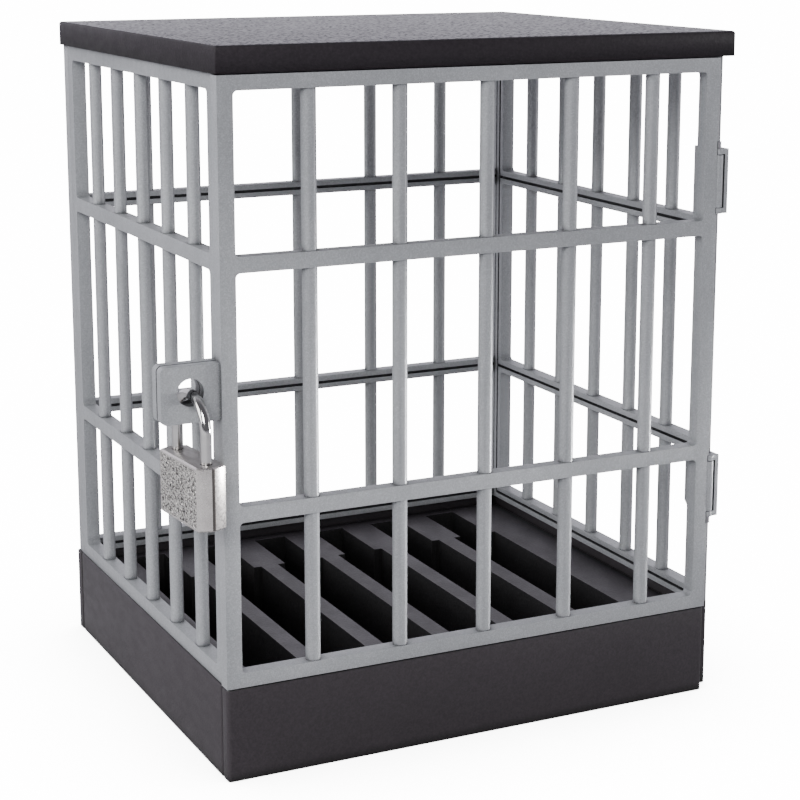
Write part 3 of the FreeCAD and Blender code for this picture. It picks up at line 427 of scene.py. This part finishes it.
def grow(piece, tree, values):
    """Runs geometry nodes on a piece and keeps the result. Their inputs are set by the sockets' identifiers."""
    modifier = piece.modifiers.new(tree.name, "NODES")
    modifier.node_group = tree
    for item in tree.interface.items_tree:
        if item.item_type == "SOCKET" and item.in_out == "INPUT" and item.name in values:
            modifier[item.identifier] = values[item.name]
    settled(piece)


def grown(name, tree, values):
    """A new piece that geometry nodes make from nothing."""
    piece = bpy.data.objects.new(name, bpy.data.meshes.new(name))
    scene.collection.objects.link(piece)
    grow(piece, tree, values)
    return piece


pin_steel = metal("pin_steel", STEEL, roughness=0.32, scale=2600, stretch=(1, 1, 0.08))
finish("tray_screws", pin_steel)
low, high = box_of("tray_screws")
spread = {"Wide": high.x - low.x - SCREW["Head"], "Deep": high.y - low.y - SCREW["Head"]}
screws = grown("tray_screw_rows", screw_tree(pin_steel), {**SCREW, **spread})
adopt(screws, "tray_screws")


# Grille walls: left, right and back, each one moulding of rounded bars between flat rails, plugged into base and roof.
# They are sprayed silver-grey, with a fine metallic flake and a faint orange peel, and their corners are darkened
# with painted shade.
SILVER_LOW, SILVER_HIGH = (0.35, 0.362, 0.38), (0.432, 0.444, 0.463)
WALL_ROUND, SOFT_ROUND = 1.1 * MM, 0.45 * MM


def silver_paint():
    m = Finish("bar_plastic")
    flake = m.texture("ShaderNodeTexVoronoi", 3800)
    broad = m.texture("ShaderNodeTexNoise", 26, Detail=4, Roughness=0.6)
    tone = m.ramp(broad, (0.28, SILVER_LOW), (0.74, SILVER_HIGH))
    sparkle = m.ramp(flake.outputs["Color"], (0.25, 0.78), (0.62, 1.0), (0.95, 1.3))
    painted = m.mix(0.6, tone, sparkle, "MULTIPLY")
    # Gaps and inside corners are darkened in the colour: painted shade.
    painted_shade = m.ramp(m.group(CREVICE_SHADE, Reach=0.0026)["Open"], (0.5, 0.08), (0.8, 0.8), (0.95, 1.0))
    m.link(Base_Color=m.mix(1.0, painted, painted_shade, "MULTIPLY"), Metallic=0.25)
    wear = m.texture("ShaderNodeTexNoise", 420, (1, 1, 0.2), Detail=3, Roughness=0.5)
    m.link(Roughness=m.ramp(wear, (0.3, 0.34), (0.7, 0.5)))
    m.bump(m.texture("ShaderNodeTexNoise", 900, Detail=2, Roughness=0.5), 0.000042)
    return m.material


bar_paint = silver_paint()
for wall in ("right_wall", "back_wall"):
    softened(wall, bar_paint, SOFT_ROUND)
wall_front = box_of("left_wall")[0].y + NEAR
softened("left_wall", bar_paint, WALL_ROUND, 4, share=lambda middle: 1 if middle.y < wall_front else 0.4)


# Roof: a black moulded lid that the walls plug into. Its rim is smooth, and its top has a coarse spark-eroded grain
# whose raised specks catch the light at a low angle.
RIM_BLACK = (0.018, 0.014, 0.018)
TOP_DARK, TOP_LIGHT = (0.031, 0.026, 0.037), (0.038, 0.033, 0.046)
ROOF_ROUND = 0.3 * MM


def roof_grain():
    m = Finish("roof_grain")
    grain = m.group(GRAIN, Scale=1050, Cell_Scale=900)
    tone = m.ramp(grain["Patches"], (0.3, TOP_DARK), (0.72, TOP_LIGHT))
    dots = m.ramp(grain["Height"], (0.34, 0.72), (0.58, 1.3))
    m.link(Base_Color=m.mix(0.9, tone, dots, "MULTIPLY"))
    m.link(Roughness=m.ramp(grain["Height"], (0.35, 0.58), (0.56, 0.36)))
    m.link(Coat_Weight=m.ramp(grain["Height"], (0.38, 0.0), (0.53, 0.9)))
    m.link(Specular_IOR_Level=0.1, Coat_Roughness=0.42, Coat_IOR=1.62)
    m.bump(grain["Height"], 0.00032)
    return m.material


rim_plastic = grained_plastic(
    "roof_plastic", RIM_BLACK, grain_scale=1500, grain_depth=0.00008, roughness=0.55, patch=0.1, gloss=0.3
)
underside = box_of("roof")[1].z - 6 * MM
roof = softened("roof", rim_plastic, ROOF_ROUND, 2, share=lambda middle: 0 if middle.z < underside else 1)
second_finish(roof, roof_grain(), lambda face: face.normal.z > 0.9)


# Door: the front grille, a moulding like the walls, with hinge barrels on its right and a hasp lug on its left. It
# turns on two steel pins, pushed through the lugs of the right wall.
door_top = box_of("door")[1].z
cage_left = box_of("base_front_plate")[0].x


def door_share(middle):
    """Round on the door's left edge, nearly sharp on its top, which the roof covers, and soft everywhere else."""
    if middle.z > door_top - NEAR:
        return 0.12
    return 1 if abs(middle.x - cage_left) < NEAR else 0.4


softened("door", bar_paint, WALL_ROUND, 4, share=door_share)
for pin in ("hinge_pin_upper", "hinge_pin_lower"):
    finish(pin, pin_steel)


# Padlock body: a zinc casting with bevelled ends, plated with nickel. Each large face has a smooth rim round a slightly
# sunken panel, hammered with small pebbles, which are real bumps on the face that the camera sees. The top is given a
# darker copy of the nickel, as painted shade, and the narrow ridge between the bevels is given a dark grey.
LOCK_TURN = math.radians(94.5)
LONG_WAY = Vector((math.cos(LOCK_TURN), math.sin(LOCK_TURN), 0))
FACE_WAY = Vector((math.cos(LOCK_TURN + math.pi / 2), math.sin(LOCK_TURN + math.pi / 2), 0))
NICKEL, SHADED_TOP_NICKEL, RIDGE_DARK = (0.84, 0.8, 0.77), (0.42, 0.4, 0.39), (0.12, 0.11, 0.105)
LOCK_ROUND = 0.3 * MM
RIM, SUNK = 0.5 * MM, 0.07 * MM
LEAST_PANEL = 2e-5  # square metres: a large face has more, and a bevel less
PANEL_CUTS = 110
PEBBLE = {"Pebbles": 1900.0, "Rise": 0.1 * MM, "Seed": 3.0}


def pebbled_nickel():
    m = Finish("pebbled_nickel")
    pebbles = m.texture("ShaderNodeTexNoise", 2300, Detail=2, Roughness=0.5)
    pits = m.texture("ShaderNodeTexVoronoi", 2000)
    height = m.mix(0.4, pebbles, pits.outputs["Distance"])
    # The pebbles' tops are painted light and their hollows dark: painted highlights and painted shade.
    tone = m.ramp(height, (0.36, (0.12, 0.11, 0.1)), (0.43, (0.5, 0.48, 0.45)), (0.52, (0.95, 0.92, 0.87)))
    hollow_shade = m.ramp(m.add("ShaderNodeAttribute", attribute_name="pebble").outputs["Fac"], (0.06, 0.12), (0.44, 1.0))
    m.link(Base_Color=m.mix(1.0, tone, hollow_shade, "MULTIPLY"), Metallic=1.0)
    m.link(Roughness=m.ramp(height, (0.3, 0.5), (0.62, 0.24)))
    m.bump(height, 0.0003)
    return m.material


def pebble_tree(material):
    """Geometry nodes that raise pebbles where the "panel" attribute marks a mesh, and finish its second faces."""
    nodes, given, made = new_group(
        "pebbled_panel",
        "GeometryNodeTree",
        [("Geometry", "Geometry", None)] + [(label, "Float", value) for label, value in PEBBLE.items()],
        [("Geometry", "Geometry")],
    )
    panel = nodes.add("GeometryNodeInputNamedAttribute", {"Name": "panel"}, data_type="FLOAT")
    bumps = nodes.add(
        "ShaderNodeTexVoronoi",
        {"Scale": given.outputs["Pebbles"], "W": given.outputs["Seed"], "Randomness": 0.95},
        voronoi_dimensions="4D",
    )
    domed = {"Value": bumps.outputs["Distance"], "From Min": 0.25, "From Max": 0.9, "To Min": 1.0, "To Max": 0.0}
    dome = nodes.add("ShaderNodeMapRange", domed, interpolation_type="SMOOTHSTEP").outputs["Result"]
    marked = panel.outputs["Attribute"]
    pebble = nodes.calc("SUBTRACT", 1.0, nodes.calc("MULTIPLY", nodes.calc("SUBTRACT", 1.0, dome), marked))
    kept = nodes.add("GeometryNodeStoreNamedAttribute", {"Name": "pebble", "Value": pebble}, data_type="FLOAT")
    nodes.put(given.outputs["Geometry"], kept.inputs["Geometry"])
    lift = nodes.calc("MULTIPLY", nodes.calc("MULTIPLY", given.outputs["Rise"], dome), marked)
    outward = nodes.add("ShaderNodeVectorMath", {"Scale": lift}, operation="SCALE")
    nodes.put(nodes.add("GeometryNodeInputNormal"), outward.inputs[0])
    lifted = nodes.add("GeometryNodeSetPosition", {"Geometry": kept, "Offset": outward.outputs[0]})
    real = nodes.add("GeometryNodeRealizeInstances", {"Geometry": lifted})
    second = nodes.add("GeometryNodeInputMaterialIndex")
    finished = nodes.add("GeometryNodeSetMaterial", {"Geometry": real, "Selection": second, "Material": material})
    nodes.put(finished, made.inputs[0])
    return nodes.tree


nickel = metal("lock_metal", NICKEL, roughness=0.28, grain_depth=0.000006, scale=1400)
lock = softened("padlock_body", nickel, LOCK_ROUND, 3, 25)
bm = bmesh.new()
bm.from_mesh(lock.data)
panels = [face for face in bm.faces if abs(face.normal.dot(FACE_WAY)) > 0.995 and face.calc_area() > LEAST_PANEL]
bmesh.ops.inset_region(bm, faces=panels, thickness=RIM, depth=-SUNK)
for face in panels:
    face.material_index = 1
plain_panels = [face for face in panels if len(face.verts) == 4]
edges = {edge for face in plain_panels for edge in face.edges}
normals = [face.normal.copy() for face in plain_panels]
bmesh.ops.subdivide_edges(bm, edges=list(edges), cuts=PANEL_CUTS, use_grid_fill=True)
mark = bm.verts.layers.float.new("panel")
for vert in bm.verts:
    around = vert.link_faces
    if len(around) == 4 and all(face.material_index == 1 for face in around):
        if any(around[0].normal.dot(normal) > 0.99 for normal in normals):
            vert[mark] = 1
bm.to_mesh(lock.data)
bm.free()
grow(lock, pebble_tree(pebbled_nickel()), PEBBLE)
# The top faces get a darker copy of the nickel, as painted shade; the ridge faces between the bevels get a dark grey.
lock.data.materials.append(metal("cast_nickel", SHADED_TOP_NICKEL, roughness=0.4, grain_depth=0.00003, scale=1800))
lock.data.materials.append(metal("parting_line", RIDGE_DARK, roughness=0.5, grain_depth=0.00002, scale=1800))
for face in lock.data.polygons:
    if face.material_index == 0 and face.normal.z > 0.9:
        face.material_index = 2
    elif abs(face.normal.dot(LONG_WAY)) > 0.985:
        face.material_index = 3


# Shackle, plug and works of the padlock: a bent wire of polished chrome, a brass key plug, and inside a spring-loaded
# latch, three stacks of tumblers with their springs, and the caps and pins that hold them in.
CHROME, BRASS = (0.66, 0.65, 0.64), (0.72, 0.55, 0.27)
chrome = metal("shackle_metal", CHROME, roughness=0.08, grain_depth=0.000003, scale=2400, stretch=(1, 1, 0.1))
brass = metal("plug_brass", BRASS, roughness=0.3, scale=2000)
finish("shackle", chrome)
finish("key_plug", brass)
for inside in ("latch_bolt", "pin_springs", "retaining_pins"):
    finish(inside, pin_steel)
for inside in ("key_pins", "driver_pins"):
    finish(inside, brass)
finish("chamber_caps", nickel)


# Latch spring: a small coil of steel wire between its seat and the latch's tail. The latch squeezes it as it draws
# back; the coil is built standing on its seat, and moves with the spring's body.
COIL = {"Wire": 0.26 * MM, "Across": 1.87 * MM, "Pitch": 0.8 * MM}


def coil_tree(material):
    """Geometry nodes for a round-wire coil that stands on the origin."""
    sizes = [(label, "Float", value) for label, value in COIL.items()] + [("Long", "Float", 4.4 * MM)]
    nodes, given, made = new_group("coil_spring", "GeometryNodeTree", sizes, [("Geometry", "Geometry")])
    calc = nodes.calc
    mean_radius = calc("MULTIPLY", calc("SUBTRACT", given.outputs["Across"], given.outputs["Wire"]), 0.5)
    height = calc("SUBTRACT", given.outputs["Long"], given.outputs["Wire"])
    helix = nodes.add(
        "GeometryNodeCurveSpiral",
        {
            "Resolution": 24,
            "Rotations": calc("DIVIDE", height, given.outputs["Pitch"]),
            "Start Radius": mean_radius,
            "End Radius": mean_radius,
            "Height": height,
        },
    )
    wire_radius = calc("MULTIPLY", given.outputs["Wire"], 0.5)
    section = nodes.add("GeometryNodeCurvePrimitiveCircle", {"Resolution": 10, "Radius": wire_radius})
    wire = nodes.add("GeometryNodeCurveToMesh", {"Curve": helix, "Profile Curve": section, "Fill Caps": True})
    real = nodes.add("GeometryNodeRealizeInstances", {"Geometry": raised(nodes, wire, wire_radius)})
    nodes.put(nodes.add("GeometryNodeSetMaterial", {"Geometry": real, "Material": material}), made.inputs[0])
    return nodes.tree


finish("latch_spring", pin_steel)
reach = [vert.co.dot(LONG_WAY) for vert in frame["nodes"]["latch_spring"].data.vertices]
low, high = box_of("latch_spring")
middle = (low + high) / 2
seat = middle + LONG_WAY * (min(reach) - middle.dot(LONG_WAY))
long = max(reach) - min(reach)
spring = grown("latch_coil", coil_tree(pin_steel), {**COIL, "Long": long})
spring.data.transform(Matrix.Translation(seat) @ LONG_WAY.to_track_quat("Z", "Y").to_matrix().to_4x4())
adopt(spring, "latch_spring")
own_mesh(spring)


# Floor: it looks white to the camera, with a soft contact shade under the object, and lights the object only as a pale
# table would. It isn't part of the object.
WHITE = 15.0
FAR = 8
floor_mesh = bpy.data.meshes.new("floor")
floor_mesh.from_pydata([(-FAR, -FAR, 0), (FAR, -FAR, 0), (FAR, FAR, 0), (-FAR, FAR, 0)], [], [(0, 1, 2, 3)])
floor = bpy.data.objects.new("floor", floor_mesh)
scene.collection.objects.link(floor)
pale = Finish("floor")
near = pale.add("ShaderNodeAmbientOcclusion", {"Distance": 0.05}, samples=8)
seen = pale.calc("MULTIPLY", pale.add("ShaderNodeLightPath").outputs["Is Camera Ray"], WHITE)
contact_shade = pale.ramp(near.outputs["AO"], (0.15, 0.25), (0.55, 0.62), (0.95, 1.0))
pale.link(Emission_Color=contact_shade, Emission_Strength=seen)
pale.link(Base_Color=(0.56, 0.56, 0.57, 1), Roughness=0.8)
floor_mesh.materials.append(pale.material)


# Light: a bright backdrop behind the object, dimmer towards the camera's side and white where the camera sees it, with
# three soft lamps and a narrow low one that catches the padlock's bevels.
BACKDROP, BRIGHT, DIM = (0.3, 0.94, 0.16), 1.2, 0.15  # direction, and strength towards it and away from it
world = bpy.data.worlds.new("studio")
scene.world = world
world.use_nodes = True
sky = Nodes(world.node_tree)
towards = sky.add("ShaderNodeVectorMath", operation="DOT_PRODUCT")
sky.put(sky.add("ShaderNodeTexCoord").outputs["Generated"], towards.inputs[0])
sky.put(BACKDROP, towards.inputs[1])
facing = {"Value": towards.outputs["Value"], "From Min": -0.2, "From Max": 0.9, "To Min": DIM, "To Max": BRIGHT}
fall = sky.add("ShaderNodeMapRange", facing, interpolation_type="SMOOTHERSTEP")
seen = sky.add("ShaderNodeLightPath").outputs["Is Camera Ray"]
strength = sky.add("ShaderNodeMix", {0: seen, 2: fall, 3: WHITE})
background = sky.tree.nodes["Background"]
sky.put(strength.outputs[0], background.inputs["Strength"])
background.inputs["Color"].default_value = (0.93, 0.91, 1, 1)


def lamp(name, at, aim, size, power, kind="AREA"):
    """A soft square lamp, or a round spot, that the camera doesn't see."""
    light = bpy.data.lights.new(name, kind)
    light.energy = power
    if kind == "AREA":
        light.shape, light.size = "SQUARE", size
    else:
        light.shadow_soft_size, light.spot_size, light.spot_blend = size, math.radians(12), 0.6
    obj = bpy.data.objects.new(name, light)
    scene.collection.objects.link(obj)
    obj.visible_camera = False
    turned = (Vector(aim) - Vector(at)).to_track_quat("-Z", "Y")
    obj.matrix_world = Matrix.Translation(at) @ turned.to_matrix().to_4x4()


lamp("key", (-0.75, -0.9, 0.75), (0, 0, 0.08), size=0.55, power=13)
lamp("side", (-1.2, 0.1, 0.5), (0, 0, 0.1), size=0.7, power=8)
lamp("strip", (1.3, -0.6, 0.2), (0, -0.06, 0.09), size=0.4, power=4)
lamp("glint", (0.5, -0.2, 0.03), (-0.08, -0.07, 0.082), size=0.025, power=16, kind="SPOT")
